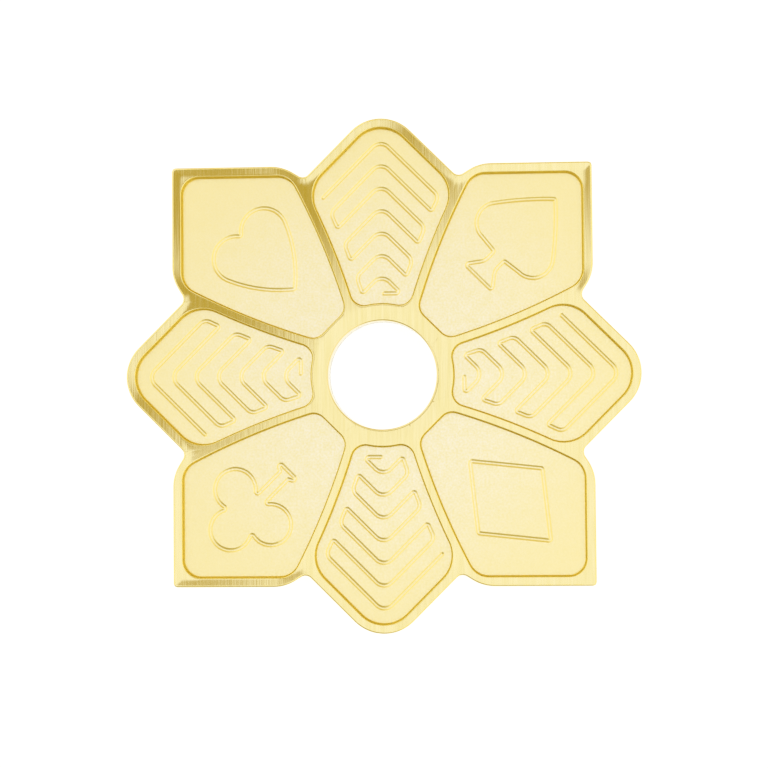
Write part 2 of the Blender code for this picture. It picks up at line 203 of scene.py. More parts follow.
def rounded(corners, closed=True):
    """A path through (corner, radius) pairs, with a tangent arc at each corner."""
    runs = []
    ends = () if closed else (0, len(corners) - 1)
    for i, (corner, radius) in enumerate(corners):
        if i in ends or radius == 0:
            runs.append([corner])
            continue
        neighbours = corners[i - 1], corners[(i + 1) % len(corners)]
        back, ahead = (unit(p - corner) for p, _ in neighbours)
        room = min(abs(p - corner) * (ARC_ROOM if r else LONE_ARC_ROOM) for p, r in neighbours)
        half = abs(np.angle(ahead / back)) / 2
        reach = min(radius / tan(half), room)
        centre = corner + unit(back + ahead) * reach * tan(half) / sin(half)
        turn = CLOCKWISE if (np.conj(back) * ahead).imag > 0 else COUNTERCLOCKWISE
        start = corner + reach * back - centre
        end = corner + reach * ahead - centre
        runs.append(arc(centre, reach * tan(half), start, end, turn))
    return np.concatenate(runs)


def mirrored(path):
    """A path reflected in the petal's axis, run the other way."""
    return -np.conj(path[::-1])


def both_sides(half):
    """A closed loop from its right half, which starts and ends on the petal's axis."""
    return np.concatenate([half, mirrored(half)[1:-1]])


def mirrored_corners(corners):
    """(corner, radius) pairs reflected in the petal's axis, in reverse order."""
    return [(-np.conj(p), radius) for p, radius in reversed(corners)]


def sharp(points):
    """(corner, radius) pairs with no rounding."""
    return [(p, 0) for p in points]


def spaced(path, count):
    """Points at equal steps along an open path, both ends included."""
    travelled = np.concatenate([[0], np.cumsum(np.abs(np.diff(path)))])
    steps = np.linspace(0, travelled[-1], count)
    return np.interp(steps, travelled, path.real) + 1j * np.interp(steps, travelled, path.imag)


def outward(loop):
    """Unit normals of a clockwise closed loop: its neighbours' chord, turned left."""
    return 1j * unit(np.roll(loop, -1) - np.roll(loop, 1))


def side_circle(bow, inset):
    """Circle along the right side of a petal's pocket: its centre and radius.

    It touches a line parallel to the rib's middle, at a fixed distance from the hole's axis.
    """
    along = turned(90 - HALF_PETAL)
    centre = RIB_TOUCH_RADIUS * along - 1j * bow * RIB_BOW_RADIUS * along
    return centre, RIB_BOW_RADIUS + bow * (RIB_WIDTH / 2 + inset)


def crossing(circle, start, heading):
    """Where a line meets a circle, nearest to the line's start."""
    centre, radius = circle
    heading = unit(heading)
    offset = (start - centre) * np.conj(heading)
    half_chord = sqrt(radius ** 2 - offset.imag ** 2)
    travel = np.array([-half_chord, half_chord]) - offset.real
    return start + heading * travel[np.argmin(np.abs(travel))]


def meeting(first, second):
    """Of the two points where circles meet, the one further along the petal."""
    (a, a_radius), (b, b_radius) = first, second
    gap = abs(b - a)
    along = (a_radius ** 2 - b_radius ** 2 + gap ** 2) / (2 * gap)
    side = sqrt(a_radius ** 2 - along ** 2)
    hits = [a + unit(b - a) * (along + 1j * s) for s in (side, -side)]
    return max(hits, key=lambda hit: hit.imag)


def pocket_half(apex, tip_radius, shoulder_radius, bow, inset):
    """Right half of a pocket's outline at an inset, from its tip to its inner edge."""
    side_centre, side_radius = side_circle(bow, inset)
    tip = 1j * (apex - sqrt(2) * tip_radius)
    beside_edge = 1j * (apex - sqrt(2) * shoulder_radius) + SLOPE_DOWN * POCKET_INNER_EDGE
    shoulder = crossing(side_circle(bow, shoulder_radius), beside_edge, SLOPE_DOWN)
    foot_side = side_circle(bow, POCKET_FOOT_RADIUS)
    foot_height = POCKET_INNER_EDGE + POCKET_FOOT_RADIUS
    ring = POCKET_INNER_EDGE + inset
    if bow == BOWED_OUT:
        foot = meeting(foot_side, (0, foot_height))
        foot_end = -foot
        middle = arc(0, ring, foot, UP, COUNTERCLOCKWISE)[1:]
    else:
        foot = crossing(foot_side, POCKET_INNER_EDGE / 2 + 1j * foot_height, RIGHT)
        foot_end = DOWN
        middle = [1j * ring]
    to_shoulder = bow * (side_centre - shoulder)
    to_foot = bow * (side_centre - foot)
    return np.concatenate([
        arc(tip, tip_radius - inset, UP, SLOPE_OUT, CLOCKWISE),
        arc(shoulder, shoulder_radius - inset, SLOPE_OUT, to_shoulder, CLOCKWISE),
        arc(side_centre, side_radius, -bow * to_shoulder, -bow * to_foot, bow)[1:-1],
        arc(foot, POCKET_FOOT_RADIUS - inset, to_foot, foot_end, CLOCKWISE),
        middle,
    ])


def arrow_half(inset):
    """Right half of an arrow petal's pocket, drawn in by an inset."""
    return pocket_half(ARROW_POCKET_APEX, ARROW_POCKET_RADIUS, ARROW_POCKET_RADIUS, BOWED_OUT, inset)


def square_half(inset):
    """Right half of a square petal's pocket, drawn in by an inset."""
    return pocket_half(SQUARE_POCKET_APEX, SQUARE_POCKET_RADIUS, SQUARE_SHOULDER_RADIUS, BOWED_IN,
                       inset)


# Engraved paths

def chevron_path():
    """An unbroken line of chevrons that turns along the pocket's sides, and a short tail.

    Each chevron runs from one side over its apex to the other, and the next one runs back.
    """
    turns_circle = side_circle(BOWED_OUT, CHEVRON_SIDE_MARGIN)
    first = ARROW_POCKET_APEX - sqrt(2) * CHEVRON_MARGIN
    corners = []
    side = RIGHT
    for i in range(CHEVRON_COUNT):
        apex = 1j * (first - i * sqrt(2) * CHEVRON_SPACING)
        end = crossing(turns_circle, apex + SLOPE_DOWN * apex.imag * LIMB_SEEK, SLOPE_DOWN)
        ends = {RIGHT: end, LEFT: -np.conj(end)}
        corners.append((ends[-side], TIGHT_TURN))
        corners.append((apex, CHEVRON_APEX_RADIUS))
        corners.append((ends[side], CHEVRON_TURN_RADIUS))
        side = -side
    last = corners.pop()[0]
    corners += [(last, TIGHT_TURN), (last + side * CHEVRON_TAIL, 0)]
    return rounded(corners, closed=False)


def heart_path():
    """Two round lobes outwards, and two bowed sides to a point towards the hole."""
    lobe = HEART_LOBE_OFFSET + 1j * (SQUARE_POCKET_APEX - HEART_TOP_REACH - HEART_LOBE_RADIUS)
    reach = HEART_LOBE_RADIUS + TIGHT_TURN
    cleft = meeting((lobe, reach), (-np.conj(lobe), reach))
    to_side = np.exp(-1j * HEART_SIDE_TURN)
    side = lobe + (HEART_LOBE_RADIUS - HEART_SIDE_RADIUS) * to_side
    point = crossing((side, HEART_SIDE_RADIUS), 1j * POCKET_INNER_EDGE, UP)
    half = np.concatenate([
        arc(cleft, TIGHT_TURN, DOWN, lobe - cleft, COUNTERCLOCKWISE)[1:],
        arc(lobe, HEART_LOBE_RADIUS, cleft - lobe, to_side, CLOCKWISE)[1:],
        arc(side, HEART_SIDE_RADIUS, to_side, point - side, CLOCKWISE)[1:-1],
    ])
    corners = sharp(half)
    return rounded([(cleft + TIGHT_TURN * DOWN, 0)] + corners + [(point, TIGHT_TURN)]
                   + mirrored_corners(corners))


def spade_path():
    """A point outwards between two bowed edges, on two round lobes, and a flared stem."""
    lobe = SPADE_LOBE_OFFSET + 1j * (SQUARE_POCKET_APEX - SPADE_LOBE_REACH)
    to_edge = np.exp(1j * SPADE_EDGE_TURN)
    edge = lobe + (SPADE_LOBE_RADIUS - SPADE_EDGE_RADIUS) * to_edge
    tip = crossing((edge, SPADE_EDGE_RADIUS), 1j * SQUARE_POCKET_APEX, UP)
    neck = lobe.imag - SPADE_LOBE_RADIUS - SPADE_NECK_DROP
    foot = neck - SPADE_STEM_HEIGHT
    stem = SPADE_STEM_WIDTH / 2
    half = np.concatenate([
        arc(edge, SPADE_EDGE_RADIUS, tip - edge, to_edge, CLOCKWISE)[1:],
        arc(lobe, SPADE_LOBE_RADIUS, to_edge, DOWN, CLOCKWISE)[1:],
    ])
    corners = sharp(half) + [
        (stem + 1j * neck, TIGHT_TURN),
        (stem + 1j * (foot + SPADE_FLARE_HEIGHT), SPADE_FLARE_RADIUS),
        (SPADE_FOOT_WIDTH / 2 + 1j * foot, TIGHT_TURN),
    ]
    return rounded([(tip, TIGHT_TURN)] + corners + mirrored_corners(corners))


def diamond_path():
    """A rhombus, longer along the petal."""
    top = SQUARE_POCKET_APEX - DIAMOND_TIP_REACH
    middle = top - DIAMOND_HEIGHT / 2
    side = DIAMOND_WIDTH / 2 + 1j * middle
    corners = [1j * top, side, 1j * (top - DIAMOND_HEIGHT), -np.conj(side)]
    return rounded([(p, TIGHT_TURN) for p in corners])


def club_path():
    """Three round lobes outwards and a straight stem on a small foot."""
    radius = CLUB_LOBE_RADIUS
    reach = radius + TIGHT_TURN
    top = 1j * (SQUARE_POCKET_APEX - CLUB_TOP_REACH - radius)
    side = top - 1j * CLUB_LOBE_SPACING * np.exp(1j * CLUB_SPREAD)
    cleft = meeting((side, reach), (top, reach))
    stem = CLUB_STEM_WIDTH / 2
    fork = crossing((side, reach), stem + TIGHT_TURN, UP)
    foot = fork.imag - CLUB_STEM_HEIGHT
    half = np.concatenate([
        arc(top, radius, UP, cleft - top, CLOCKWISE)[1:],
        arc(cleft, TIGHT_TURN, top - cleft, side - cleft, COUNTERCLOCKWISE)[1:],
        arc(side, radius, cleft - side, fork - side, CLOCKWISE)[1:],
        arc(fork, TIGHT_TURN, side - fork, LEFT, COUNTERCLOCKWISE)[1:],
    ])
    corners = sharp(half) + [
        (stem + 1j * (foot + CLUB_FOOT_HEIGHT), 0),
        (CLUB_FOOT_WIDTH / 2 + 1j * foot, TIGHT_TURN),
    ]
    return rounded([(top + radius * UP, 0)] + corners + mirrored_corners(corners))


def distance_to(path, closed, places):
    """Distance of each place to the nearest of a path's straight steps."""
    ends = np.roll(path, -1) if closed else path[1:]
    nearest = np.full(places.shape, np.inf)
    for start, end in zip(path, ends):
        step = end - start
        if abs(step) > 0:
            share = np.clip(((places - start) / step).real, 0, 1)
            nearest = np.minimum(nearest, np.abs(places - start - share * step))
    return nearest


# Meshes

def rounding(edge, centre_out, centre_up, first, last):
    """Quarter of a circle as (outward, height) steps, between two bearings in degrees."""
    bearings = np.radians(np.linspace(first, last, ROUNDING_STEPS))
    return np.stack([centre_out + edge * np.cos(bearings), centre_up + edge * np.sin(bearings)], 1)


def carried(loop, profile):
    """A profile of (outward, height) steps carried round a loop: flat places and heights."""
    profile = np.asarray(profile)
    flat = loop + profile[:, :1] * outward(loop)
    return flat, np.broadcast_to(profile[:, 1:], flat.shape)


def doubled(profile):
    """A profile with its creases kept sharp: each step repeated close by on both sides."""
    profile = np.asarray(profile)
    ahead = profile[:-1] + CREASE * (profile[1:] - profile[:-1])
    behind = profile[1:] - CREASE * (profile[1:] - profile[:-1])
    return np.concatenate([np.stack([ahead, behind], 1).reshape(-1, 2), profile[-1:]])


def blend_rows(inner, outer, count):
    """Loops at equal steps from one loop to another, without the first one."""
    share = np.linspace(0, 1, count + 1)[1:, None]
    return inner + share * (outer - inner)


class Grid:
    """Rows of closed loops, stacked into one surface, with a mask value on each point."""

    def __init__(self):
        self.rows = []

    def add(self, flat, height, mask):
        """More rows: flat places, their heights and their mask, as arrays or numbers."""
        shape = np.shape(flat)
        self.rows.append([np.broadcast_to(a, shape) for a in (flat, height, mask)])

    def points(self, degrees=0):
        """All points as coordinates, turned about the hole's axis, with their masks."""
        flat, height, mask = (np.concatenate(part) for part in zip(*self.rows))
        flat = flat * turned(degrees)
        return np.stack([flat.real, flat.imag, height], -1), mask


def grid_faces(rows, columns, first):
    """Quads of a grid whose rows are closed loops, counted from a first point."""
    row, column = np.meshgrid(np.arange(rows - 1), np.arange(columns), indexing="ij")
    after = (column + 1) % columns
    corners = [row * columns + column, row * columns + after,
               (row + 1) * columns + after, (row + 1) * columns + column]
    return first + np.stack(corners, -1).reshape(-1, 4)


def make_piece(name, grids, material, slot, *nodes):
    """One closed mesh from turned grids, welded, smooth, and standing for its CAD node."""
    places, masks, faces = [], [], []
    count = 0
    for grid, degrees in grids:
        points, mask = grid.points(degrees)
        places.append(points.reshape(-1, 3))
        masks.append(mask.ravel())
        faces.append(grid_faces(*mask.shape, count))
        count += mask.size
    mesh = bpy.data.meshes.new(name)
    mesh.from_pydata(np.concatenate(places), [], np.concatenate(faces))
    # mask of painted shade: one where recesses and edges are painted a deeper gold
    layer = mesh.attributes.new("recess_shade", "FLOAT", "POINT")
    layer.data.foreach_set("value", np.concatenate(masks).astype(np.float32))
    shape = bmesh.new()
    shape.from_mesh(mesh)
    bmesh.ops.remove_doubles(shape, verts=shape.verts, dist=WELD)
    bmesh.ops.recalc_face_normals(shape, faces=shape.faces)
    shape.to_mesh(mesh)
    shape.free()
    mesh.shade_smooth()
    mesh.materials.append(material)
    piece = bpy.data.objects.new(name, mesh)
    bpy.context.scene.collection.objects.link(piece)
    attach(piece, "root")
    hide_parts(*nodes)


# Plate

def outline_eighth():
    """The plate's edge from the north tip clockwise to the corner on the diagonal."""
    valley = VALLEY_HALF_WIDTH + 1j * (ARROW_APEX - VALLEY_HALF_WIDTH)
    shoulder = SHOULDER_HALF_WIDTH + 1j * SQUARE_HALF_SIDE
    across = (1j * np.conj(shoulder), SHOULDER_RADIUS)
    path = rounded([
        (-np.conj(valley), 0),
        (1j * ARROW_APEX, TIP_RADIUS),
        (valley, VALLEY_RADIUS),
        (shoulder, SHOULDER_RADIUS),
        (SQUARE_HALF_SIDE * SLOPE_OUT, SQUARE_CORNER_RADIUS),
        across,
    ], closed=False)
    return path[(path.real > -WELD) & (path.imag - path.real > -WELD)]


def all_round(eighth):
    """A closed clockwise loop from the stretch between +Y and the diagonal."""
    quarter = np.concatenate([eighth, 1j * np.conj(eighth[::-1])[1:]])[:-1]
    return np.concatenate([quarter * turned(-90 * k) for k in range(4)])


def split_stretch(path):
    """A path cut at its point nearest to the hole, as two stretches of equal steps."""
    cut = np.argmin(np.abs(path))
    return spaced(path[:cut + 1], ARROW_STEPS), spaced(path[cut:], SQUARE_STEPS)


def joined(first, second):
    """Two stretches that share a point, as one."""
    return np.concatenate([first, second[1:]])


def land_height(places, free_edge):
    """Height of the land: it slopes down from the plate's outer edge, and again to the hole.

    Both slopes are straight: one with the distance to the outer edge, one with the distance to
    the hole. The mean over some columns to each side rounds the slope where it turns a corner.
    It counts less from row to row, and the last row, along the petal's edge, keeps its height.
    """
    inside = np.clip(distance_to(free_edge, True, places) / DISH_REACH, 0, 1)
    ring = np.clip((np.abs(places) - HOLE_RADIUS - PLATE_EDGE) / RING_REACH, 0, 1)
    height = PLATE_TOP - DISH_DEPTH * inside - RING_FALL * (1 - ring)
    shifts = range(-SOFT_COLUMNS, SOFT_COLUMNS + 1)
    soft = np.mean([np.roll(height, shift, axis=1) for shift in shifts], axis=0)
    share = np.linspace(1, 0, len(height))[:, None]
    return height + share * (soft - height)


def cell_grid(boundary_half, pocket_half_path, free_edge):
    """One petal of the plate: pocket floor, wall, rim and the land out to the petal's edge.

    Each point of the petal's edge is joined to the pocket's point on the same bearing
    from the pocket's middle. Bearings run from the petal's tip to half a turn.
    """
    middle = 1j * (pocket_half_path[0].imag + pocket_half_path[-1].imag) / 2
    bearing = -np.angle((boundary_half - middle) / 1j)
    bearing[-1] = np.pi
    pocket_bearing = -np.angle((pocket_half_path - middle) / 1j)
    pocket_bearing[-1] = np.pi
    half = (np.interp(bearing, pocket_bearing, pocket_half_path.real)
            + 1j * np.interp(bearing, pocket_bearing, pocket_half_path.imag))
    half[[0, -1]] = 1j * half[[0, -1]].imag
    pocket = both_sides(half)
    boundary = both_sides(boundary_half)
    glue = GLUE_GAP - INLAY_CLEARANCE
    glue_top = INLAY_TOP - GLUE_DROP
    wall = [(glue, POCKET_FLOOR), (glue, glue_top), (0, glue_top), (0, LAND_TOP - POCKET_EDGE)]
    rim = rounding(POCKET_EDGE, POCKET_EDGE, LAND_TOP - POCKET_EDGE, 180, 90)
    grid = Grid()
    # painted shade: the pocket's floor and wall get the full mask, which fades out over the rim
    grid.add(np.full((1, len(pocket)), middle), POCKET_FLOOR, 1)
    grid.add(*carried(pocket, doubled(wall)), 1)
    grid.add(*carried(pocket, rim[1:]), 1 - np.linspace(0, 1, len(rim))[1:, None] ** RIM_FADE)
    land = blend_rows(carried(pocket, rim[-1:])[0][0], boundary, LAND_ROWS)
    grid.add(land, land_height(land, free_edge), 0)
    return grid


def build_plate(material):
    """The plate: eight petals, and one surface round its edge, its back and its hole.

    A petal's edge runs along the outline, down a rib's middle line and along the hole. The
    rib's line follows its circle and bends to the valley of the outline near its end.
    """
    rib_circle = side_circle(BOWED_OUT, -RIB_WIDTH / 2)
    arrow_edge, square_edge = split_stretch(outline_eighth())
    outline = all_round(joined(arrow_edge, square_edge))
    land_edge = outline - PLATE_EDGE * outward(outline)

    hole_rim = HOLE_RADIUS + PLATE_EDGE
    rib_foot = meeting(rib_circle, (0, hole_rim))
    arrow_arc = spaced(arc(0, hole_rim, UP, rib_foot, CLOCKWISE), ARROW_STEPS)
    square_arc = spaced(arc(0, hole_rim, rib_foot, SLOPE_OUT, CLOCKWISE), SQUARE_STEPS)
    hole = all_round(joined(arrow_arc, square_arc))

    rib_end = land_edge[ARROW_STEPS - 1]
    centre, radius = rib_circle
    rib = spaced(arc(centre, radius, rib_foot - centre, rib_end - centre, CLOCKWISE), RIB_STEPS)
    rib = rib + np.linspace(0, 1, RIB_STEPS) ** RIB_BEND * (rib_end - rib[-1])

    arrow_half_edge = joined(joined(land_edge[:ARROW_STEPS], rib[::-1]), arrow_arc[::-1])
    square_left = joined(joined(land_edge[ARROW_STEPS - 1:ARROW_STEPS + SQUARE_STEPS - 1][::-1],
                                rib[::-1]), square_arc)
    square_half_edge = -np.conj(square_left * turned(PETAL_TURN))

    arrow_cell = cell_grid(arrow_half_edge, arrow_half(0), land_edge)
    square_cell = cell_grid(square_half_edge, square_half(0), land_edge * turned(PETAL_TURN))
    grids = [(arrow_cell, degrees) for degrees in ARROW_PETALS.values()]
    grids += [(square_cell, degrees) for degrees in SQUARE_PETALS.values()]

    shell = Grid()
    top_edge = rounding(PLATE_EDGE, -PLATE_EDGE, PLATE_TOP - PLATE_EDGE, 90, 0)
    bottom_edge = rounding(PLATE_EDGE, -PLATE_EDGE, PLATE_BOTTOM + PLATE_EDGE, 0, -90)
    # painted shade over the plate's edge rounding, strongest at its top and gone at its side
    shell.add(*carried(outline, top_edge), np.linspace(EDGE_SHADE, 0, ROUNDING_STEPS)[:, None])
    shell.add(*carried(outline, bottom_edge), 0)
    shell.add(blend_rows(land_edge, hole, BACK_ROWS), PLATE_BOTTOM, 0)
    bore = np.concatenate([
        rounding(PLATE_EDGE, PLATE_EDGE, PLATE_BOTTOM + PLATE_EDGE, 270, 180),
        rounding(PLATE_EDGE, PLATE_EDGE, RING_TOP - PLATE_EDGE, 180, 90),
    ])
    bore_line = hole - PLATE_EDGE * unit(hole)
    flat = bore_line + bore[1:, :1] * unit(hole)
    shell.add(flat, np.broadcast_to(bore[1:, 1:], flat.shape), 0)
    grids.append((shell, 0))
    make_piece("brushed_plate", grids, material, "brushed_brass", "body_plate")


# Inlays

def inlay_grid(outline_half, path, closed):
    """An inlay: rings that shrink from its edge to its middle, sunk along the engraved path.

    The depth falls smoothly from the groove's floor to its edge with the distance to the path,
    and the mask of painted shade is one halfway up the groove's walls.
    """
    outline = both_sides(outline_half)
    outline = spaced(np.append(outline, outline[0]), INLAY_STEPS + 1)[:-1]
    middle = 1j * (outline_half[0].imag + outline_half[-1].imag) / 2
    edge = rounding(INLAY_EDGE, -INLAY_EDGE, INLAY_TOP - INLAY_EDGE, 90, 0)
    face_edge = carried(outline, edge[:1])[0][0]
    share = np.linspace(0, 1, INLAY_ROWS)[:, None]
    face = middle + share * (face_edge - middle)
    away = distance_to(path, closed, face)
    wall = np.clip((GROOVE_REACH - away) / (GROOVE_REACH - GROOVE_FLOOR), 0, 1)
    sunk = wall * wall * (3 - 2 * wall)
    grid = Grid()
    grid.add(face, INLAY_TOP - GROOVE_DEPTH * sunk, 4 * sunk * (1 - sunk))
    grid.add(*carried(outline, edge[1:]), np.linspace(0, 1, len(edge))[1:, None] ** INLAY_FADE)
    grid.add(*carried(outline, [(0, INLAY_BOTTOM)]), 1)
    grid.add(np.full((1, INLAY_STEPS), middle), INLAY_BOTTOM, 1)
    return grid


def build_inlays(material):
    """The eight inlays: one zigzag, four times, and the four suits."""
    zigzag = inlay_grid(arrow_half(INLAY_CLEARANCE), chevron_path(), False)
    for name, degrees in ARROW_PETALS.items():
        make_piece(f"{name}_chevrons", [(zigzag, degrees)], material, "blasted_brass",
                   f"{name}_chevron_inlay")
    figures = {"heart": heart_path, "club": club_path, "diamond": diamond_path, "spade": spade_path}
    for name, degrees in SQUARE_PETALS.items():
        suit = inlay_grid(square_half(INLAY_CLEARANCE), figures[name](), True)
        make_piece(f"{name}_panel", [(suit, degrees)], material, "blasted_brass", f"{name}_inlay")


# Finishes

class Tone:
    """A socket of a material's nodes. Sums with it add Math nodes."""

    def __init__(self, tree, socket=None):
        self.tree = tree
        self.socket = socket

    def node(self, kind, settings=None, values=None, output=0):
        """A new node: its settings come first, then the values or links of its sockets."""
        made = self.tree.nodes.new("ShaderNode" + kind)
        for name, value in (settings or {}).items():
            setattr(made, name, value)
        for name, value in (values or {}).items():
            if isinstance(value, Tone):
                self.tree.links.new(value.socket, made.inputs[name])
            else:
                made.inputs[name].default_value = value
        return Tone(self.tree, made.outputs[output])

    def maths(self, operation, first, second=0.0):
        """A Math node on one or two values."""
        return self.node("Math", {"operation": operation}, {0: first, 1: second})

    def __add__(self, other):
        return self.maths("ADD", self, other)

    def __sub__(self, other):
        return self.maths("SUBTRACT", self, other)

    def __rsub__(self, other):
        return self.maths("SUBTRACT", other, self)

    def __mul__(self, other):
        return self.maths("MULTIPLY", self, other)

    def __truediv__(self, other):
        return self.maths("DIVIDE", self, other)

    __radd__ = __add__
    __rmul__ = __mul__

    def clamped(self, low=0.0):
        """The value held between a lower limit and one."""
        return self.node("Clamp", None, {"Value": self, "Min": low, "Max": 1.0})

    def unsigned(self):
        """The value without its sign."""
        return self.maths("ABSOLUTE", self)

    def rising(self, start, end):
        """Nought before a start, one after an end, and a smooth step between."""
        return self.node("MapRange", {"interpolation_type": "SMOOTHSTEP"},
                         {"Value": self, "From Min": start, "From Max": end})

    def along(self, heading):
        """How far this vector goes in a heading."""
        return self.node("VectorMath", {"operation": "DOT_PRODUCT"}, {0: self, 1: heading}, "Value")

    def mixed(self, first, second):
        """A colour between two, by this value."""
        return self.node("Mix", {"data_type": "RGBA"}, {0: self, 6: first, 7: second}, output=2)

    def from_axis(self):
        """Distance from the hole's axis."""
        place = self.node("TexCoord", None, None, "Object")
        flat = self.node("VectorMath", {"operation": "MULTIPLY"}, {0: place, 1: (1.0, 1.0, 0.0)})
        return self.node("VectorMath", {"operation": "LENGTH"}, {0: flat}, "Value")

    def noise(self, across, along):
        """Noise on the part's X and Y with so many grains to the millimetre each way."""
        place = self.node("TexCoord", None, None, "Object")
        grains = (across / MM, along / MM, 0.0)
        scaled = self.node("VectorMath", {"operation": "MULTIPLY"}, {0: place, 1: grains})
        return self.node("TexNoise", {"noise_dimensions": "2D"},
                         {"Vector": scaled, "Scale": 1.0, "Detail": NOISE_DETAIL})

    def bump(self, distance):
        """A surface that rises by a distance where this value is one."""
        return self.node("Bump", None, {"Strength": 1.0, "Distance": distance, "Height": self})


def new_brass(name):
    """A metal material: itself, its shader node and a first tone to start sums from."""
    material = bpy.data.materials.new(name)
    material.use_nodes = True
    tree = material.node_tree
    shader = tree.nodes["Principled BSDF"]
    shader.inputs["Metallic"].default_value = 1.0
    return material, shader, Tone(tree)


def feed(shader, **tones):
    """Links tones to a shader's sockets, with spaces in their names as underscores."""
    for name, tone in tones.items():
        tone.tree.links.new(tone.socket, shader.inputs[name.replace("_", " ")])


PALE_GOLD = (0.92, 0.82, 0.46, 1.0)
STREAK_GOLD = (0.86, 0.74, 0.32, 1.0)
MATT_GOLD = (0.965, 0.91, 0.75, 1.0)
CLOUD_GOLD = (0.91, 0.82, 0.44, 1.0)
OUTER_SHADE_GOLD = (0.945, 0.835, 0.42, 1.0)
# painted shade: the deeper gold laid on recesses, rims, edges and groove walls
SHADE_GOLD = (0.98, 0.83, 0.2, 1.0)

# Grains to the millimetre, along X and Y
FINE_STREAKS = (5.0, 0.25)
COARSE_STREAKS = (1.6, 0.12)
BLAST_GRAINS = (4.0, 4.0)
BLAST_CLOUDS = (0.7, 0.7)
NOISE_DETAIL = 2.0

# Brushed finish
FINE_TONE = 0.7                  # weight of the fine streaks in the colour
COARSE_TONE = 1.1
TONE_FLOOR = 0.5                 # taken from a sum of noises, so that it spreads from nought to one
BRUSHED_ROUGHNESS = 0.07
FINE_ROUGHNESS = 0.05            # added by a fine streak
WALL_ROUGHNESS = 0.3             # added on the pocket walls
FINE_HEIGHT = 0.5                # weight of the fine streaks in the relief
COARSE_HEIGHT = 0.6
BRUSHED_RELIEF = 0.0045 * MM

# Blasted finish
GRAIN_TONE = 1.4
CLOUD_TONE = 0.5
# Painted shade and highlight: paler gold near the hole's axis, richer and darker gold outwards
OUTER_SHADE_START = 10.0 * MM           # distance from the hole's axis where the gold starts to get richer
OUTER_SHADE_END = 32.0 * MM
OUTER_SHADE_SHARE = 0.8
# painted shade in the engraved lines
GROOVE_SHADE = 0.75               # share of the deeper gold halfway up a groove's wall
BLASTED_ROUGHNESS = 0.28
GRAIN_ROUGHNESS = 0.1
BLASTED_RELIEF = 0.008 * MM


def brushed_brass():
    """Brass brushed along Y: fine and coarse streaks, and painted shade in a deeper gold on the
    pocket walls, rims and outer edge.
    """
    material, shader, tone = new_brass("brushed_brass")
    fine = tone.noise(*FINE_STREAKS)
    coarse = tone.noise(*COARSE_STREAKS)
    # painted shade: the mask lays a deeper gold on the pocket walls, rims and outer edge
    recess_shade = tone.node("Attribute", {"attribute_name": "recess_shade"}, None, "Fac")
    streak = (fine * FINE_TONE + coarse * COARSE_TONE - TONE_FLOOR).clamped()
    face = streak.mixed(PALE_GOLD, STREAK_GOLD)
    feed(shader, Base_Color=recess_shade.mixed(face, SHADE_GOLD))
    feed(shader, Roughness=fine * FINE_ROUGHNESS + recess_shade * WALL_ROUGHNESS + BRUSHED_ROUGHNESS)
    feed(shader, Normal=(fine * FINE_HEIGHT + coarse * COARSE_HEIGHT).bump(BRUSHED_RELIEF))
    return material


def blasted_brass():
    """Brass blasted to an even matt grain, with painted shade in a deeper gold in the engraved lines
    and round the edge, and painted shade that turns the gold richer and darker away from the hole's
    axis.
    """
    material, shader, tone = new_brass("blasted_brass")
    grain = tone.noise(*BLAST_GRAINS)
    cloud = tone.noise(*BLAST_CLOUDS)
    # painted shade: the mask lays a deeper gold in the grooves and round the inlay's edge
    recess_shade = tone.node("Attribute", {"attribute_name": "recess_shade"}, None, "Fac")
    patch = (grain * GRAIN_TONE + cloud * CLOUD_TONE - TONE_FLOOR).clamped()
    # painted shade and highlight: paler near the hole's axis, richer and darker gold outwards
    outer_shade = tone.from_axis().rising(OUTER_SHADE_START, OUTER_SHADE_END) * OUTER_SHADE_SHARE
    face = outer_shade.mixed(patch.mixed(MATT_GOLD, CLOUD_GOLD), OUTER_SHADE_GOLD)
    feed(shader, Base_Color=(recess_shade * GROOVE_SHADE).mixed(face, SHADE_GOLD))
    feed(shader, Roughness=grain * GRAIN_ROUGHNESS + BLASTED_ROUGHNESS)
    feed(shader, Normal=grain.bump(BLASTED_RELIEF))
    return material


# Studio

CAMERA_PLACE = (10.6 * MM, -7.3 * MM, PLATE_TOP + 196.8 * MM)
CAMERA_TURN = (0.0312, 0.0530, -0.0085)
CAMERA_LENS = 79.5
CAMERA_SENSOR = 36.0
CAMERA_NEAR = 10 * MM

# Floor
FLOOR_SIZE = 4.0
FLOOR_PAINT = (0.2, 0.2, 0.2, 1.0)
FLOOR_GLOW = (0.92, 0.92, 0.92, 1.0)
FLOOR_RAYS = ("Is Camera Ray", "Is Glossy Ray", "Is Transmission Ray")

# Room: slopes are measured from straight up, as the tangent of the angle
SOUTH_EAST = Vector((1, -1, 0)).normalized()
NORTH_EAST = Vector((1, 1, 0)).normalized()
SIDE = Vector((0.38, 0.92, 0)).normalized()
FRONT = Vector((0.92, -0.38, 0)).normalized()
ABOVE = Vector((0, 0, 1))
WHITE = (1.0, 1.0, 1.0, 1.0)
WARM_WHITE = (1.0, 0.94, 0.78, 1.0)
DIM_GOLD = (0.72, 0.58, 0.22, 1.0)
DIM_OLIVE = (0.47, 0.38, 0.12, 1.0)
DARK_GOLD = (0.50, 0.37, 0.03, 1.0)
ROOM_STRENGTH = 1.08
LEAST_RISE = 0.05                # a lower heading counts as rising by this much
LAMP_MIDDLE = -0.055             # slope of the overhead lamp's middle, to the south-east
DARK_EDGE = (-0.105, -0.055)     # slopes from the lamp's middle between which the dark corner ends
DARK_CURVE = 0.35                # by which that edge bends back on both sides
DARK_LENGTH_SQUARED = 0.0296     # of the oval that bounds the dark corner, to the south-east
DARK_WIDTH_SQUARED = 0.0196      # and to the sides
DARK_FADE = (0.8, 1.2)           # shares of the oval between which it fades
FAR_FADE = (0.2, 1.0)            # slopes between which white turns warm
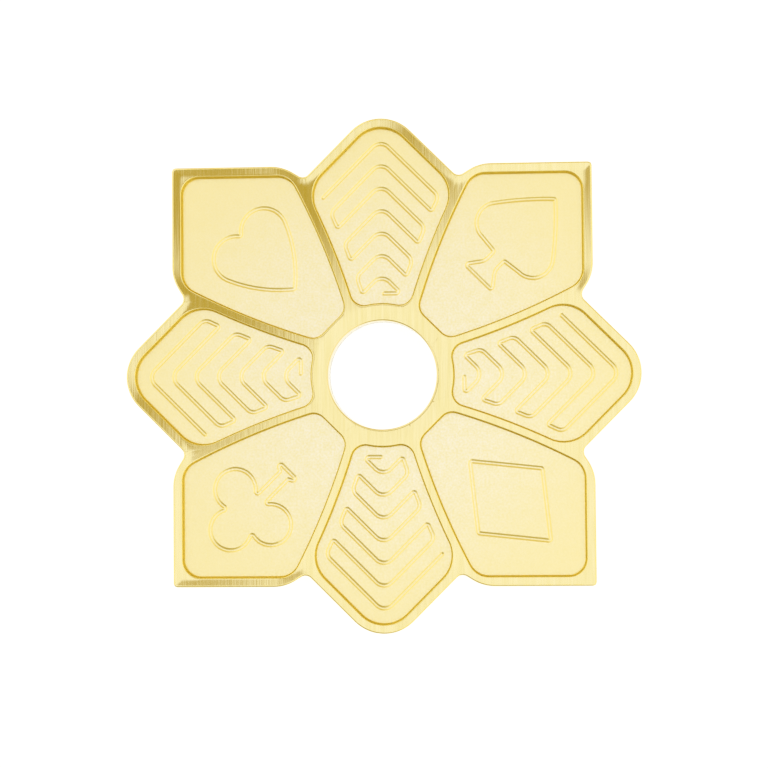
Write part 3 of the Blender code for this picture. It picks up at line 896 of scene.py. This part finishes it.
FRONT_SHARE = 0.9                # how wide the room's bright front and back are, beside its sides
FLANK_FADE = (0.2, 0.6)          # slopes between which the sides turn dim
DIM_FADE = (-0.2, 0.2)           # slopes between which one side's tone turns into the other's


def build_camera():
    """Almost straight down, a little from the south-east."""
    data = bpy.data.cameras.new("camera")
    data.lens = CAMERA_LENS
    data.sensor_width = CAMERA_SENSOR
    data.clip_start = CAMERA_NEAR
    camera = bpy.data.objects.new("camera", data)
    camera.location = CAMERA_PLACE
    camera.rotation_euler = CAMERA_TURN
    bpy.context.scene.collection.objects.link(camera)
    bpy.context.scene.camera = camera


def build_room():
    """Soft light from all round, by the slope of a direction from straight up.

    A white lamp overhead reaches to the south-east, a dark corner parts it from a white wall
    to the north-west, and the room is dim on its two sides.
    """
    world = bpy.data.worlds.new("room")
    world.use_nodes = True
    background = world.node_tree.nodes["Background"]
    tone = Tone(world.node_tree)
    heading = tone.node("TexCoord", None, None, "Generated")
    rise = heading.along(ABOVE).clamped(LEAST_RISE)
    south_east = heading.along(SOUTH_EAST) / rise - LAMP_MIDDLE
    sideways = (heading.along(NORTH_EAST) / rise).unsigned()
    length = south_east * south_east
    width = sideways * sideways
    oval = length / DARK_LENGTH_SQUARED + width / DARK_WIDTH_SQUARED
    curved = south_east - sideways * DARK_CURVE
    dark = (1 - curved.rising(*DARK_EDGE)) * (1 - oval.rising(*DARK_FADE))
    to_side = heading.along(SIDE) / rise
    to_front = heading.along(FRONT) / rise
    flank = (to_side.unsigned() - to_front.unsigned() * FRONT_SHARE).rising(*FLANK_FADE)
    dim = to_side.rising(*DIM_FADE).mixed(DIM_OLIVE, DIM_GOLD)
    far = tone.maths("SQRT", length + width).rising(*FAR_FADE)
    light = flank.mixed(far.mixed(WHITE, WARM_WHITE), dim)
    feed(background, Color=dark.mixed(light, DARK_GOLD))
    background.inputs["Strength"].default_value = ROOM_STRENGTH
    bpy.context.scene.world = world


def build_floor():
    """A white floor that looks white straight on and in reflections, and keeps a shadow."""
    mesh = bpy.data.meshes.new("floor")
    half = FLOOR_SIZE / 2
    corners = [(-half, -half, 0), (half, -half, 0), (half, half, 0), (-half, half, 0)]
    mesh.from_pydata(corners, [], [(0, 1, 2, 3)])
    material = bpy.data.materials.new("white_floor")
    material.use_nodes = True
    tree = material.node_tree
    tree.nodes.remove(tree.nodes["Principled BSDF"])
    tone = Tone(tree)
    seen = sum(tone.node("LightPath", None, None, ray) for ray in FLOOR_RAYS).clamped()
    paint = tone.node("BsdfDiffuse", None, {"Color": FLOOR_PAINT})
    glow = tone.node("Emission", None, {"Color": FLOOR_GLOW, "Strength": 1.0})
    bright = tone.node("AddShader", None, {0: paint, 1: glow})
    surface = tone.node("MixShader", None, {0: seen, 1: paint, 2: bright})
    tree.links.new(surface.socket, tree.nodes["Material Output"].inputs["Surface"])
    mesh.materials.append(material)
    floor = bpy.data.objects.new("floor", mesh)
    bpy.context.scene.collection.objects.link(floor)


bpy.context.scene.view_settings.view_transform = "Standard"
build_plate(brushed_brass())
build_inlays(blasted_brass())
build_camera()
build_room()
build_floor()
